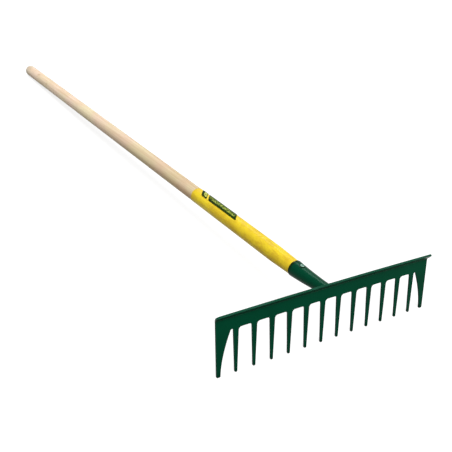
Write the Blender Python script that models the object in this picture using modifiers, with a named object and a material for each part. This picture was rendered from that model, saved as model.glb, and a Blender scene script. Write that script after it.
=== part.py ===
# Garden rake: a head pressed from one steel sheet, a welded socket and a long wooden handle.
# The head is modelled upright, then the whole rake is laid down on its tooth tips and handle end.
import bpy
import bmesh
import math
from mathutils import Matrix, Vector

# Sheet of the head
SHEET = 0.003                  # thickness
TOOTH_COUNT = 14
TOOTH_PITCH = 0.0285
TOOTH_HEIGHT = 0.0666          # tips to the roots, at the middle of the head
TOOTH_ROOT_WIDTH = 0.0081
TOOTH_TIP_WIDTH = 0.0039
TIP_ROUND = 0.0015
ROOT_FILLET = 0.0045
ROOT_ARCH = 0.0015             # how much lower the roots are at the ends
END_MARGIN = 0.00195           # sheet outside the pitch line of the end teeth
END_ROOT_WIDTH = 0.0224        # the end teeth are wide brackets at their roots
END_TIP_WIDTH = 0.0059
END_DRAW_IN = 0.0008           # the outer edge draws in towards the tip
END_CURVE = 1.75               # power of the curve on their inner edge
BAND_HEIGHT = 0.0174           # plain band from the roots to the crease of the lip

# Lip that stiffens the top of the sheet
LIP_LENGTH = 0.0114            # crease to edge, on the under side
LIP_ANGLE = math.radians(45.0)
LIP_RADIUS = 0.002             # inside of the bend
LIP_ARCH = 0.0013
LIP_FLARE = 0.0040             # each end of the lip is this much wider than the band
LIP_CORNER = 0.007

# Handle
HANDLE_RISE = math.radians(6.14)
HANDLE_RADIUS = 0.0149         # at the far end
HANDLE_NEAR_RADIUS = 0.0134    # the wood thins evenly to this before its neck
NECK_RADIUS = 0.0118           # at the mouth of the socket
NECK_LENGTH = 0.050
HANDLE_END = 1.454             # face of the sheet to the far end, along the handle
HANDLE_DOME = 0.011
HANDLE_LIFT = 0.003            # the handle's axis meets the face of the sheet this far above the roots

# Sleeve and label on the handle
SLEEVE_LENGTH = 0.2997
SLEEVE_WALL = 0.0005
SLEEVE_STEP = 0.0002           # the sleeve stands this much proud of the wood
LABEL_INSET = 0.018            # far end of the sleeve to the nearer patch
LABEL_LENGTH = 0.092
LABEL_WIDTH = 0.0158
LABEL_SLANT = 0.020            # one long side lies this much nearer the far end
LABEL_FILM = 0.00025
LABEL_CORNER = 0.0015
EMBLEM_LENGTH = 0.019
EMBLEM_SPACE = 0.005

# Socket
SOCKET_MOUTH = 0.086          # face of the sheet to the mouth, along the handle
SOCKET_PROUD = 0.0012          # the mouth stands this much proud of the sleeve
SOCKET_WALL = 0.0016
SOCKET_END_HALF_WIDTH = 0.0090  # at the weld the tube is a little flat
SOCKET_END_HALF_HEIGHT = 0.0079
SOCKET_SWELL = 1.05            # power of the widening from the weld to the mouth
MOUTH_EDGE = 0.0004
TANG_LENGTH = 0.054            # wood inside the socket
TANG_PLAY = 0.0006
WELD_LEG = 0.0022
WELD_LOW_LEG = 0.0006          # the weld is thin below the socket
WELD_FULLNESS = 0.55           # share of both legs that the middle of its face reaches

# Screw that holds the handle
SCREW_FROM_MOUTH = 0.017
SCREW_HEAD_RADIUS = 0.0035
SCREW_HEAD_HEIGHT = 0.0021
SCREW_RIM = 0.0006
SCREW_SHANK_RADIUS = 0.0017
SCREW_LENGTH = 0.0095
SCREW_POINT = 0.0025
RECESS_LENGTH = 0.0036
RECESS_WIDTH = 0.0008
RECESS_DEPTH = 0.0011

CLEARANCE = 0.0003             # between pieces that touch
SAME_POINT = 0.000001          # points nearer than this are one

# Fineness of the curved shapes
EDGE_SHARE = 0.48              # most of an edge that the arc at one end may take
SHARP_ANGLE = math.radians(40.0)
ROUND_STEPS = 36
CORNER_STEPS = 4
DOME_STEPS = 6
CURVE_STEPS = 9
BEND_STEPS = 3
SOCKET_STEPS = 12
TANG_STEPS = 5
LABEL_STEPS = 8
SMALL_ROUND_STEPS = 20

# Sizes that follow from those above
head_half = TOOTH_PITCH * (TOOTH_COUNT - 1) / 2 + END_MARGIN
lip_half = head_half + LIP_FLARE
crease = TOOTH_HEIGHT + BAND_HEIGHT
bend_start = crease - LIP_RADIUS * math.tan(LIP_ANGLE / 2)
bend_end = bend_start + LIP_RADIUS * LIP_ANGLE
blank_top = bend_end + LIP_LENGTH - LIP_RADIUS * math.tan(LIP_ANGLE / 2)

handle_height = TOOTH_HEIGHT + HANDLE_LIFT
dome_start = HANDLE_END - HANDLE_DOME
neck_end = SOCKET_MOUTH + NECK_LENGTH
mouth_radius = NECK_RADIUS + SLEEVE_STEP + SOCKET_PROUD
sleeve_start = SOCKET_MOUTH + CLEARANCE
sleeve_end = sleeve_start + SLEEVE_LENGTH
emblem_end = sleeve_end - LABEL_INSET
emblem_start = emblem_end - EMBLEM_LENGTH
panel_end = emblem_start - EMBLEM_SPACE
panel_start = panel_end - LABEL_LENGTH

socket_near = SHEET + CLEARANCE
socket_far = SOCKET_MOUTH * math.cos(HANDLE_RISE)
socket_run = socket_far - socket_near
socket_slope = math.tan(HANDLE_RISE)


def remove_everything():
    for item in list(bpy.data.objects):
        bpy.data.objects.remove(item, do_unlink=True)


def make_collection(name):
    group = bpy.data.collections.new(name)
    bpy.context.scene.collection.children.link(group)
    return group


def make_material(name, colour, roughness, metallic=0.0):
    material = bpy.data.materials.new(name)
    material.use_nodes = True
    shader = material.node_tree.nodes["Principled BSDF"]
    shader.inputs["Base Color"].default_value = (*colour, 1.0)
    shader.inputs["Roughness"].default_value = roughness
    shader.inputs["Metallic"].default_value = metallic
    return material


def add_empty(name, parent, location, tilt):
    empty = bpy.data.objects.new(name, None)
    empty.empty_display_size = 0.05
    rake.objects.link(empty)
    empty.parent = parent
    empty.location = location
    empty.rotation_euler = (tilt, 0.0, 0.0)
    return empty


def add_piece(name, mesh, parent, material):
    piece = bpy.data.objects.new(name, mesh)
    rake.objects.link(piece)
    piece.parent = parent
    mesh.materials.append(material)
    return piece


def add_cutter(name, mesh, parent):
    cutter = bpy.data.objects.new(name, mesh)
    cutters.objects.link(cutter)
    cutter.parent = parent
    cutter.hide_render = True
    cutter.display_type = "WIRE"
    return cutter


def cut(piece, cutter):
    boolean = piece.modifiers.new(cutter.name, "BOOLEAN")
    boolean.operation = "DIFFERENCE"
    boolean.solver = "EXACT"
    boolean.object = cutter


def round_corners(corners):
    """Outline through corners (x, z, radius), each turned into an arc of its radius."""
    points = []
    count = len(corners)
    for index, (x, z, radius) in enumerate(corners):
        corner = Vector((x, z))
        before = Vector(corners[index - 1][:2]) - corner
        after = Vector(corners[(index + 1) % count][:2]) - corner
        if radius <= 0.0:
            points.append(corner)
            continue
        half = before.angle(after) / 2
        reach = radius / math.tan(half)
        reach = min(reach, EDGE_SHARE * before.length, EDGE_SHARE * after.length)
        before.normalize()
        after.normalize()
        fitted = reach * math.tan(half)
        centre = corner + (before + after).normalized() * (fitted / math.sin(half))
        first = corner + before * reach - centre
        sweep = first.angle_signed(corner + after * reach - centre)
        for step in range(CORNER_STEPS + 1):
            turned = first.copy()
            turned.rotate(Matrix.Rotation(-sweep * step / CORNER_STEPS, 2))
            points.append(centre + turned)
    return points


def fill_outline(name, points):
    """Flat filled mesh in the XY plane, from a closed 2D curve."""
    curve = bpy.data.curves.new(name, "CURVE")
    curve.dimensions = "2D"
    curve.fill_mode = "BOTH"
    spline = curve.splines.new("POLY")
    spline.points.add(len(points) - 1)
    for target, point in zip(spline.points, points):
        target.co = (point.x, point.y, 0.0, 1.0)
    spline.use_cyclic_u = True
    holder = bpy.data.objects.new(name, curve)
    rake.objects.link(holder)
    graph = bpy.context.evaluated_depsgraph_get()
    mesh = bpy.data.meshes.new_from_object(holder.evaluated_get(graph))
    mesh.name = name
    bpy.data.objects.remove(holder, do_unlink=True)
    return mesh


def form_sheet(mesh, across_lines, along_lines, place, away_from):
    """Scores a flat blank along lines, then moves each point of it to its place in the formed sheet."""
    blank = bmesh.new()
    blank.from_mesh(mesh)
    bmesh.ops.remove_doubles(blank, verts=blank.verts[:], dist=SAME_POINT)
    for lines, direction in ((across_lines, Vector((1, 0, 0))), (along_lines, Vector((0, 1, 0)))):
        for line in lines:
            everything = blank.verts[:] + blank.edges[:] + blank.faces[:]
            bmesh.ops.bisect_plane(
                blank, geom=everything, dist=SAME_POINT, plane_co=direction * line, plane_no=direction
            )
    for vertex in blank.verts:
        vertex.co = place(vertex.co.x, vertex.co.y)
    bmesh.ops.recalc_face_normals(blank, faces=blank.faces[:])
    largest = max(blank.faces, key=lambda face: face.calc_area())
    if largest.normal.dot(away_from) < 0.0:
        bmesh.ops.reverse_faces(blank, faces=blank.faces[:])
    blank.to_mesh(mesh)
    blank.free()


def add_thickness(piece, thickness, side):
    solid = piece.modifiers.new("thickness", "SOLIDIFY")
    solid.thickness = thickness
    solid.offset = side
    solid.use_even_offset = True


def loft(name, rings):
    """Closed skin through rings of points; the last ring joins the first again."""
    skin = bmesh.new()
    rows = [[skin.verts.new(point) for point in ring] for ring in rings]
    for row, following in zip(rows, rows[1:] + rows[:1]):
        for index in range(len(row)):
            beside = (index + 1) % len(row)
            skin.faces.new((row[index], row[beside], following[beside], following[index]))
    bmesh.ops.recalc_face_normals(skin, faces=skin.faces[:])
    mesh = bpy.data.meshes.new(name)
    skin.to_mesh(mesh)
    skin.free()
    mesh.shade_smooth()
    mesh.set_sharp_from_angle(angle=SHARP_ANGLE)
    return mesh


def turn(name, profile, closed=False):
    """Mesh of a profile of (radius, height) points, top to bottom along its outer side."""
    mesh = bpy.data.meshes.new(name)
    points = [(radius, 0.0, height) for radius, height in profile]
    edges = [(index, index + 1) for index in range(len(points) - 1)]
    if closed:
        edges.append((len(points) - 1, 0))
    mesh.from_pydata(points, edges, [])
    return mesh


def add_screw(piece, steps):
    spin = piece.modifiers.new("turned", "SCREW")
    spin.axis = "Z"
    spin.steps = steps
    spin.render_steps = steps
    spin.use_merge_vertices = True
    spin.merge_threshold = SAME_POINT
    spin.use_smooth_shade = True


def wood_radius(along):
    """Radius of the bare handle: an even taper, then a neck before the socket."""
    taper = (along - SOCKET_MOUTH) / (dome_start - SOCKET_MOUTH)
    radius = HANDLE_NEAR_RADIUS + (HANDLE_RADIUS - HANDLE_NEAR_RADIUS) * taper
    narrowing = max(1.0 - (along - SOCKET_MOUTH) / NECK_LENGTH, 0.0)
    return radius - (HANDLE_NEAR_RADIUS - NECK_RADIUS) * narrowing


def sleeve_radius(along):
    return wood_radius(along) + SLEEVE_STEP


def arched(x, drop):
    return drop * (x / head_half) ** 2


def root_height(x):
    return TOOTH_HEIGHT - arched(x, ROOT_ARCH)


def end_tooth(side):
    """Corners of an end tooth from its outer tip to its inner root; side is -1 or 1."""
    root_x = head_half - END_ROOT_WIDTH
    outer_x = head_half - END_DRAW_IN
    inner_x = outer_x - END_TIP_WIDTH
    root_z = root_height(root_x)
    space = root_x - TOOTH_PITCH * (TOOTH_COUNT - 3) / 2 - TOOTH_ROOT_WIDTH / 2
    corners = [(side * outer_x, 0.0, TIP_ROUND), (side * inner_x, 0.0, TIP_ROUND)]
    for step in range(1, CURVE_STEPS):
        share = step / CURVE_STEPS
        x = inner_x - (inner_x - root_x) * share ** END_CURVE
        corners.append((side * x, root_z * share, 0.0))
    corners.append((side * root_x, root_z, min(ROOT_FILLET, space / 2)))
    return corners, min(ROOT_FILLET, space / 2)


def head_outline():
    """Flat blank of the head; x runs along it and z up the sheet from the tips."""
    left, end_fillet = end_tooth(-1)
    corners = list(left)
    for index in range(1, TOOTH_COUNT - 1):
        centre = TOOTH_PITCH * (index - (TOOTH_COUNT - 1) / 2)
        left_fillet = end_fillet if index == 1 else ROOT_FILLET
        right_fillet = end_fillet if index == TOOTH_COUNT - 2 else ROOT_FILLET
        left_x = centre - TOOTH_ROOT_WIDTH / 2
        right_x = centre + TOOTH_ROOT_WIDTH / 2
        corners.append((left_x, root_height(left_x), left_fillet))
        corners.append((centre - TOOTH_TIP_WIDTH / 2, 0.0, TIP_ROUND))
        corners.append((centre + TOOTH_TIP_WIDTH / 2, 0.0, TIP_ROUND))
        corners.append((right_x, root_height(right_x), right_fillet))
    right, end_fillet = end_tooth(1)
    corners += reversed(right)
    corners.append((head_half, bend_start, 0.0))
    corners.append((lip_half, blank_top, LIP_CORNER))
    corners.append((-lip_half, blank_top, LIP_CORNER))
    corners.append((-head_half, bend_start, 0.0))
    return round_corners(corners)


def press_head(x, along):
    """Place of a blank's point after the lip is bent forward."""
    rise = min(max((along - TOOTH_HEIGHT) / (bend_start - TOOTH_HEIGHT), 0.0), 1.0)
    drop = arched(x, LIP_ARCH) * rise
    angle = min(max((along - bend_start) / LIP_RADIUS, 0.0), LIP_ANGLE)
    straight = max(along - bend_end, 0.0)
    y = -LIP_RADIUS * (1.0 - math.cos(angle)) - straight * math.sin(angle)
    z = min(along, bend_start) + LIP_RADIUS * math.sin(angle) + straight * math.cos(angle)
    return Vector((x, y, z - drop))


def make_head():
    mesh = fill_outline("rake_head", head_outline())
    spaces = [TOOTH_PITCH * (index - TOOTH_COUNT / 2) for index in range(1, TOOTH_COUNT)]
    folds = [bend_start + (bend_end - bend_start) * step / BEND_STEPS for step in range(BEND_STEPS + 1)]
    form_sheet(mesh, spaces, folds, press_head, Vector((0, -1, 0)))
    head = add_piece("rake_head", mesh, tool, green_paint)
    add_thickness(head, SHEET, -1.0)
    return head


def socket_section(share):
    """Centre, lean and half sizes of the socket's tube; share runs from the weld (0) to the mouth (1)."""
    y = socket_near + socket_run * share
    mouth_z = handle_height + SOCKET_MOUTH * math.sin(HANDLE_RISE)
    z = mouth_z - socket_slope * socket_run * (1.0 - share ** 2) / 2
    lean = math.atan(socket_slope * share)
    swell = share ** SOCKET_SWELL
    half_width = SOCKET_END_HALF_WIDTH + (mouth_radius - SOCKET_END_HALF_WIDTH) * swell
    half_height = SOCKET_END_HALF_HEIGHT + (mouth_radius - SOCKET_END_HALF_HEIGHT) * swell
    return Vector((0.0, y, z)), lean, half_width, half_height


def socket_ring(share, inset):
    centre, lean, half_width, half_height = socket_section(share)
    up = Vector((0.0, -math.sin(lean), math.cos(lean)))
    ring = []
    for step in range(ROUND_STEPS):
        angle = 2 * math.pi * step / ROUND_STEPS
        sideways = Vector(((half_width - inset) * math.cos(angle), 0.0, 0.0))
        ring.append(centre + sideways + up * ((half_height - inset) * math.sin(angle)))
    return ring


def make_socket():
    edge_share = 1.0 - MOUTH_EDGE / socket_run
    shares = [edge_share * step / SOCKET_STEPS for step in range(SOCKET_STEPS + 1)]
    rings = [socket_ring(share, 0.0) for share in shares]
    rings.append(socket_ring(1.0, MOUTH_EDGE))
    rings.append(socket_ring(1.0, SOCKET_WALL))
    rings += [socket_ring(share, SOCKET_WALL) for share in reversed(shares[:-1])]
    return add_piece("socket", loft("socket", rings), tool, green_paint)


def make_weld():
    """Bead between the sheet and the end of the socket, thinner on its lower side."""
    rings = []
    for outward, backward in ((0.0, 0.0), (1.0, 0.0), (WELD_FULLNESS, WELD_FULLNESS), (0.0, 1.0)):
        ring = []
        for step in range(ROUND_STEPS):
            angle = 2 * math.pi * step / ROUND_STEPS
            upward = math.sin(angle)
            leg = WELD_LOW_LEG + (WELD_LEG - WELD_LOW_LEG) * min(1.0 + upward, 1.0)
            centre, lean, half_width, half_height = socket_section(backward * leg / socket_run)
            reach = CLEARANCE + outward * leg
            x = (half_width + reach) * math.cos(angle)
            z = centre.z + (half_height + reach) * upward
            ring.append(Vector((x, centre.y, z)))
        rings.append(ring)
    return add_piece("weld_bead", loft("weld_bead", rings), tool, green_paint)


def tang_radius(along):
    """Radius of the wood inside the socket, clear of the curved bore."""
    share = (along * math.cos(HANDLE_RISE) - socket_near) / socket_run
    centre, lean, half_width, half_height = socket_section(share)
    axis_z = handle_height + along * math.sin(HANDLE_RISE)
    aside = abs(centre.z - axis_z)
    return min(half_width, half_height) - SOCKET_WALL - aside - TANG_PLAY


def make_handle():
    profile = []
    for step in range(DOME_STEPS + 1):
        angle = math.pi / 2 * step / DOME_STEPS
        height = dome_start + HANDLE_DOME * math.cos(angle)
        profile.append((HANDLE_RADIUS * math.sin(angle), height))
    seat_end = sleeve_end + CLEARANCE
    profile.append((wood_radius(seat_end), seat_end))
    for along in (seat_end, neck_end, sleeve_start):
        profile.append((sleeve_radius(along) - SLEEVE_WALL - CLEARANCE, along))
    for step in range(TANG_STEPS + 1):
        along = sleeve_start - TANG_LENGTH * step / TANG_STEPS
        profile.append((tang_radius(min(along, SOCKET_MOUTH)), along))
    profile.append((0.0, sleeve_start - TANG_LENGTH))
    handle = add_piece("handle", turn("handle", profile), handle_line, bare_wood)
    handle.rotation_euler = (-math.pi / 2, 0.0, 0.0)
    add_screw(handle, ROUND_STEPS)
    return handle


def make_sleeve():
    stations = (sleeve_end, neck_end, sleeve_start)
    profile = [(sleeve_radius(along), along) for along in stations]
    profile += [(sleeve_radius(along) - SLEEVE_WALL, along) for along in reversed(stations)]
    sleeve = add_piece("yellow_sleeve", turn("yellow_sleeve", profile, closed=True), handle_line, yellow_film)
    sleeve.rotation_euler = (-math.pi / 2, 0.0, 0.0)
    add_screw(sleeve, ROUND_STEPS)
    return sleeve


def make_patch(name, start, end):
    """Thin slanted film bent round the top of the sleeve; start and end are on its middle line."""
    half = LABEL_WIDTH / 2
    lean = LABEL_SLANT / 2
    corners = [(-half, start - lean, LABEL_CORNER), (half, start + lean, LABEL_CORNER)]
    corners += [(half, end + lean, LABEL_CORNER), (-half, end - lean, LABEL_CORNER)]
    mesh = fill_outline(name, round_corners(corners))
    creases = [half * (2 * step / LABEL_STEPS - 1) for step in range(1, LABEL_STEPS)]

    def wrap(around, along):
        radius = sleeve_radius(along) + CLEARANCE
        angle = around / radius
        return Vector((radius * math.sin(angle), along, radius * math.cos(angle)))

    form_sheet(mesh, creases, [], wrap, Vector((0, 0, 1)))
    patch = add_piece(name, mesh, handle_line, label_green)
    add_thickness(patch, LABEL_FILM, 1.0)
    return patch


def screw_seat():
    """Point on the top of the socket below the screw's head, and the slope of the socket there."""
    share = ((SOCKET_MOUTH - SCREW_FROM_MOUTH) * math.cos(HANDLE_RISE) - socket_near) / socket_run
    half_head = SCREW_HEAD_RADIUS / socket_run
    tops = []
    for place in (share - half_head, share, share + half_head):
        centre, lean, half_width, half_height = socket_section(place)
        tops.append(centre + Vector((0.0, -math.sin(lean), math.cos(lean))) * half_height)
    run = tops[2] - tops[0]
    return tops[1], math.atan2(run.z, run.y)


def make_screw(seat):
    profile = []
    crown = SCREW_HEAD_HEIGHT - SCREW_RIM
    for step in range(DOME_STEPS + 1):
        angle = math.pi / 2 * step / DOME_STEPS
        profile.append((SCREW_HEAD_RADIUS * math.sin(angle), SCREW_RIM + crown * math.cos(angle)))
    profile.append((SCREW_HEAD_RADIUS, 0.0))
    profile.append((SCREW_SHANK_RADIUS, 0.0))
    profile.append((SCREW_SHANK_RADIUS, SCREW_POINT - SCREW_LENGTH))
    profile.append((0.0, -SCREW_LENGTH))
    screw = add_piece("screw", turn("screw", profile), seat, zinc)
    screw.location = (0.0, 0.0, CLEARANCE)
    add_screw(screw, SMALL_ROUND_STEPS)
    for name, angle in (("recess_along", 0.0), ("recess_across", math.pi / 2)):
        slot = bmesh.new()
        bmesh.ops.create_cube(slot, size=1.0)
        size = Vector((RECESS_LENGTH, RECESS_WIDTH, 2 * RECESS_DEPTH))
        bmesh.ops.scale(slot, vec=size, verts=slot.verts[:])
        mesh = bpy.data.meshes.new(name)
        slot.to_mesh(mesh)
        slot.free()
        cutter = add_cutter(name, mesh, seat)
        cutter.location = (0.0, 0.0, CLEARANCE + SCREW_HEAD_HEIGHT)
        cutter.rotation_euler = (0.0, 0.0, angle)
        cut(screw, cutter)
    return screw


def make_hole_cutter(seat):
    """Cylinder that clears the screw's shank in the socket and in the wood."""
    drill = bmesh.new()
    depth = 2 * (SCREW_LENGTH + CLEARANCE)
    radius = SCREW_SHANK_RADIUS + CLEARANCE
    bmesh.ops.create_cone(
        drill, cap_ends=True, segments=SMALL_ROUND_STEPS, radius1=radius, radius2=radius, depth=depth
    )
    mesh = bpy.data.meshes.new("screw_hole")
    drill.to_mesh(mesh)
    drill.free()
    return add_cutter("screw_hole", mesh, seat)


def lean_angle():
    """Angle that brings the tooth tips and the under side of the handle's end down to one plane."""
    y = dome_start * math.cos(HANDLE_RISE) - SHEET
    z = handle_height + dome_start * math.sin(HANDLE_RISE)
    return math.atan2(z, y) - math.asin(HANDLE_RADIUS / math.hypot(y, z))


def set_down(pieces):
    """Rests the rake on z = 0 with the origin below the middle of its box."""
    bpy.context.view_layer.update()
    graph = bpy.context.evaluated_depsgraph_get()
    lows = [math.inf, math.inf]
    highs = [-math.inf, -math.inf]
    for piece in pieces:
        solid = piece.evaluated_get(graph)
        mesh = solid.to_mesh()
        for vertex in mesh.vertices:
            point = solid.matrix_world @ vertex.co
            for slot, value in enumerate((point.y, point.z)):
                lows[slot] = min(lows[slot], value)
                highs[slot] = max(highs[slot], value)
        solid.to_mesh_clear()
    tool.location = (0.0, -(lows[0] + highs[0]) / 2, -lows[1])
    bpy.context.view_layer.update()


remove_everything()
rake = make_collection("garden_rake")
cutters = make_collection("cutters")

green_paint = make_material("green_paint", (0.006, 0.055, 0.026), 0.32)
yellow_film = make_material("yellow_film", (0.80, 0.58, 0.035), 0.40)
bare_wood = make_material("bare_wood", (0.62, 0.46, 0.29), 0.62)
label_green = make_material("label_green", (0.02, 0.075, 0.03), 0.45)
zinc = make_material("zinc", (0.62, 0.66, 0.62), 0.35, 1.0)

tool = add_empty("tool", None, (0.0, 0.0, 0.0), -lean_angle())
handle_line = add_empty("handle_line", tool, (0.0, 0.0, handle_height), HANDLE_RISE)

head = make_head()
socket = make_socket()
weld = make_weld()
handle = make_handle()
sleeve = make_sleeve()
panel = make_patch("label_panel", panel_start, panel_end)
emblem = make_patch("label_emblem", emblem_start, emblem_end)

seat_point, seat_slope = screw_seat()
screw_place = add_empty("screw_place", tool, seat_point, seat_slope)
screw = make_screw(screw_place)
screw_hole = make_hole_cutter(screw_place)
cut(socket, screw_hole)
cut(handle, screw_hole)

set_down([head, socket, weld, handle, sleeve, panel, emblem, screw])
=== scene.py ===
import bpy
import bmesh
import math
from mathutils import Matrix, Vector, noise


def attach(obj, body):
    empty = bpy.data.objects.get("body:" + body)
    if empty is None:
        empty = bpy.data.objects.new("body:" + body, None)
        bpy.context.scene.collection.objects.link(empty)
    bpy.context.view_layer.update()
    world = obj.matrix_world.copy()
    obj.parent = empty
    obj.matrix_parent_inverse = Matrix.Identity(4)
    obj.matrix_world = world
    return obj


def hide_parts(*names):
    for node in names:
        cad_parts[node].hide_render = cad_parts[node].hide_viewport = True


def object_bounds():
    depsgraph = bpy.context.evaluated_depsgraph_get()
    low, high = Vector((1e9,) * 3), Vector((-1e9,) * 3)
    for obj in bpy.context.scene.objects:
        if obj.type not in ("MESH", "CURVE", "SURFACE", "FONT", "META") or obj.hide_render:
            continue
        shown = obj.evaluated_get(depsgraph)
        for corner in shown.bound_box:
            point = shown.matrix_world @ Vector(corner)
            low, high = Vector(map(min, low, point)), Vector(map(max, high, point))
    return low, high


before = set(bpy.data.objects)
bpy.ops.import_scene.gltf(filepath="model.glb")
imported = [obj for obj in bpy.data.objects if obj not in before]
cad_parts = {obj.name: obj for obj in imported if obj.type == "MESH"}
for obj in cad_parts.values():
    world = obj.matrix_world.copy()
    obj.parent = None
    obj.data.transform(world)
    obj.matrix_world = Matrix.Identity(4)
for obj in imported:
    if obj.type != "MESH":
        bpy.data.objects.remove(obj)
cadLow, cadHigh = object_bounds()
print("frame loaded:", ", ".join(sorted(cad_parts)))

# the rake lies on its tooth tips and on the under side of the handle's far end
layDown = dict(
    sheetThickness=0.003,
    handleHeight=0.0696,            # handle axis above the tips, at the face of the sheet
    handleRise=math.radians(6.14),
    handleEnd=1.454,
    handleDome=0.011,
    handleRadius=0.0149,            # at the far end, where the dome starts
)
domeStart = layDown["handleEnd"] - layDown["handleDome"]


def leanAngle():
    y = domeStart * math.cos(layDown["handleRise"]) - layDown["sheetThickness"]
    z = layDown["handleHeight"] + domeStart * math.sin(layDown["handleRise"])
    return math.atan2(z, y) - math.asin(layDown["handleRadius"] / math.hypot(y, z))


leanBack = leanAngle()
tipSpot = (0.0, cadLow[1], layDown["sheetThickness"] * math.sin(leanBack))
toolFrame = Matrix.Translation(tipSpot) @ Matrix.Rotation(-leanBack, 4, "X")
handleFrame = (toolFrame @ Matrix.Translation((0.0, 0.0, layDown["handleHeight"]))
               @ Matrix.Rotation(layDown["handleRise"], 4, "X"))

rakeParts = bpy.data.collections.new("gardenRake")
bpy.context.scene.collection.children.link(rakeParts)


def setDown(name, mesh, place, finishes, slotName, *nodes):
    mesh.transform(place)
    piece = bpy.data.objects.new(name, mesh)
    rakeParts.objects.link(piece)
    for finish in finishes:
        mesh.materials.append(finish)
    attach(piece, "root")
    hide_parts(*nodes)
    return piece


# helpers for the node materials

def newFinish(name):
    finish = bpy.data.materials.new(name)
    finish.use_nodes = True
    tree = finish.node_tree
    shader = tree.nodes["Principled BSDF"]
    shader.location = (500, 0)
    tree.nodes["Material Output"].location = (820, 0)
    return finish, tree, shader


def addNode(tree, kind, spot, values=None, **options):
    made = tree.nodes.new(kind)
    made.location = spot
    for key, value in options.items():
        setattr(made, key, value)
    for key, value in (values or {}).items():
        made.inputs[key].default_value = value
    return made


def wire(tree, source, target, socket):
    tree.links.new(source, target.inputs[socket])


def spaceOf(tree, spot, home, scale=(1, 1, 1), turn=(0, 0, 0), shift=(0, 0, 0)):
    coords = addNode(tree, "ShaderNodeTexCoord", (spot[0] - 380, spot[1]))
    local = addNode(tree, "ShaderNodeMapping", (spot[0] - 190, spot[1]),
                    {"Location": home.to_translation(), "Rotation": home.to_euler()}, vector_type="TEXTURE")
    mapping = addNode(tree, "ShaderNodeMapping", spot, {"Scale": scale, "Rotation": turn, "Location": shift})
    wire(tree, coords.outputs["Object"], local, "Vector")
    wire(tree, local.outputs["Vector"], mapping, "Vector")
    return mapping.outputs["Vector"]


def splitAxes(tree, spot, vector):
    apart = addNode(tree, "ShaderNodeSeparateXYZ", spot)
    wire(tree, vector, apart, "Vector")
    return apart.outputs


def addNoise(tree, spot, vector, scale, detail=2.0, rough=0.5, warp=0.0):
    made = addNode(tree, "ShaderNodeTexNoise", spot,
                   {"Scale": scale, "Detail": detail, "Roughness": rough, "Distortion": warp})
    wire(tree, vector, made, "Vector")
    return made.outputs["Fac"]


def addRange(tree, spot, value, low, high, toLow, toHigh):
    made = addNode(tree, "ShaderNodeMapRange", spot,
                   {"From Min": low, "From Max": high, "To Min": toLow, "To Max": toHigh})
    wire(tree, value, made, "Value")
    return made.outputs["Result"]


def addMath(tree, spot, operation, first, second, clamp=False):
    made = addNode(tree, "ShaderNodeMath", spot, operation=operation, use_clamp=clamp)
    for socket, value in enumerate((first, second)):
        if isinstance(value, (int, float)):
            made.inputs[socket].default_value = value
        else:
            wire(tree, value, made, socket)
    return made.outputs[0]


def addLength(tree, spot, vector):
    made = addNode(tree, "ShaderNodeVectorMath", spot, operation="LENGTH")
    wire(tree, vector, made, 0)
    return made.outputs["Value"]


def addMix(tree, spot, share, first, second, blend="MIX"):
    made = addNode(tree, "ShaderNodeMix", spot, data_type="RGBA", blend_type=blend)
    for socket, value in ((0, share), (6, first), (7, second)):
        if isinstance(value, tuple):
            made.inputs[socket].default_value = (*value, 1.0)
        else:
            wire(tree, value, made, socket)
    return made.outputs[2]


def addLayer(tree, spot, under, over, pattern, low, high, share=1.0, blend="MIX"):
    amount = addRange(tree, (spot[0] - 190, spot[1] - 60), pattern, low, high, 0.0, share)
    return addMix(tree, spot, amount, under, over, blend)


def addBump(tree, spot, height, strength, distance, under=None):
    made = addNode(tree, "ShaderNodeBump", spot, {"Strength": strength, "Distance": distance})
    wire(tree, height, made, "Height")
    if under is not None:
        wire(tree, under, made, "Normal")
    return made.outputs["Normal"]


def dressShader(tree, shader, colour, roughness, normal):
    wire(tree, colour, shader, "Base Color")
    wire(tree, roughness, shader, "Roughness")
    wire(tree, normal, shader, "Normal")


# Scale is a noise's frequency, Range is where a layer starts, where it is full and its share
enamelLook = dict(
    deep=(0.0004, 0.0395, 0.0168),
    fresh=(0.0008, 0.0520, 0.0235),
    cloudScale=11.0,
    cloudRange=(0.34, 0.66),
    mistScale=210.0,
    mistRange=(0.42, 0.75, 0.35),
    sagScale=70.0,
    sagDepth=0.0011,
    peelScale=900.0,
    peel=0.16,
    peelDepth=0.00012,
    thin=(0.028, 0.098, 0.066),          # where the coat is pulled thin over an edge
    thinScale=55.0,
    bare=(0.16, 0.17, 0.155),            # steel under a chip
    chipScale=330.0,
    chipRange=(0.735, 0.765),
    chipShare=0.8,
    shearStretch=(1500.0, 60.0, 1500.0),
    shearRange=(0.45, 0.8, 0.4),
    shearDepth=0.00016,
    lumpScale=520.0,
    lumpDepth=0.0005,
    paintedTipShade=(0.0006, 0.020, 0.0090),    # painted shade at the tooth tips
    paintedTipShadeUp=0.016,
    paintedTipShadeShare=0.95,
    paintedTeethShadeUp=(0.054, 0.068),
    paintedTeethShadeShare=0.36,                     # painted shade all over the teeth
    shine=0.020,
    gleam=(0.10, 1.0, 0.75),             # the coat tints what it reflects
    smooth=0.18,
    dull=0.28,
)


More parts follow.
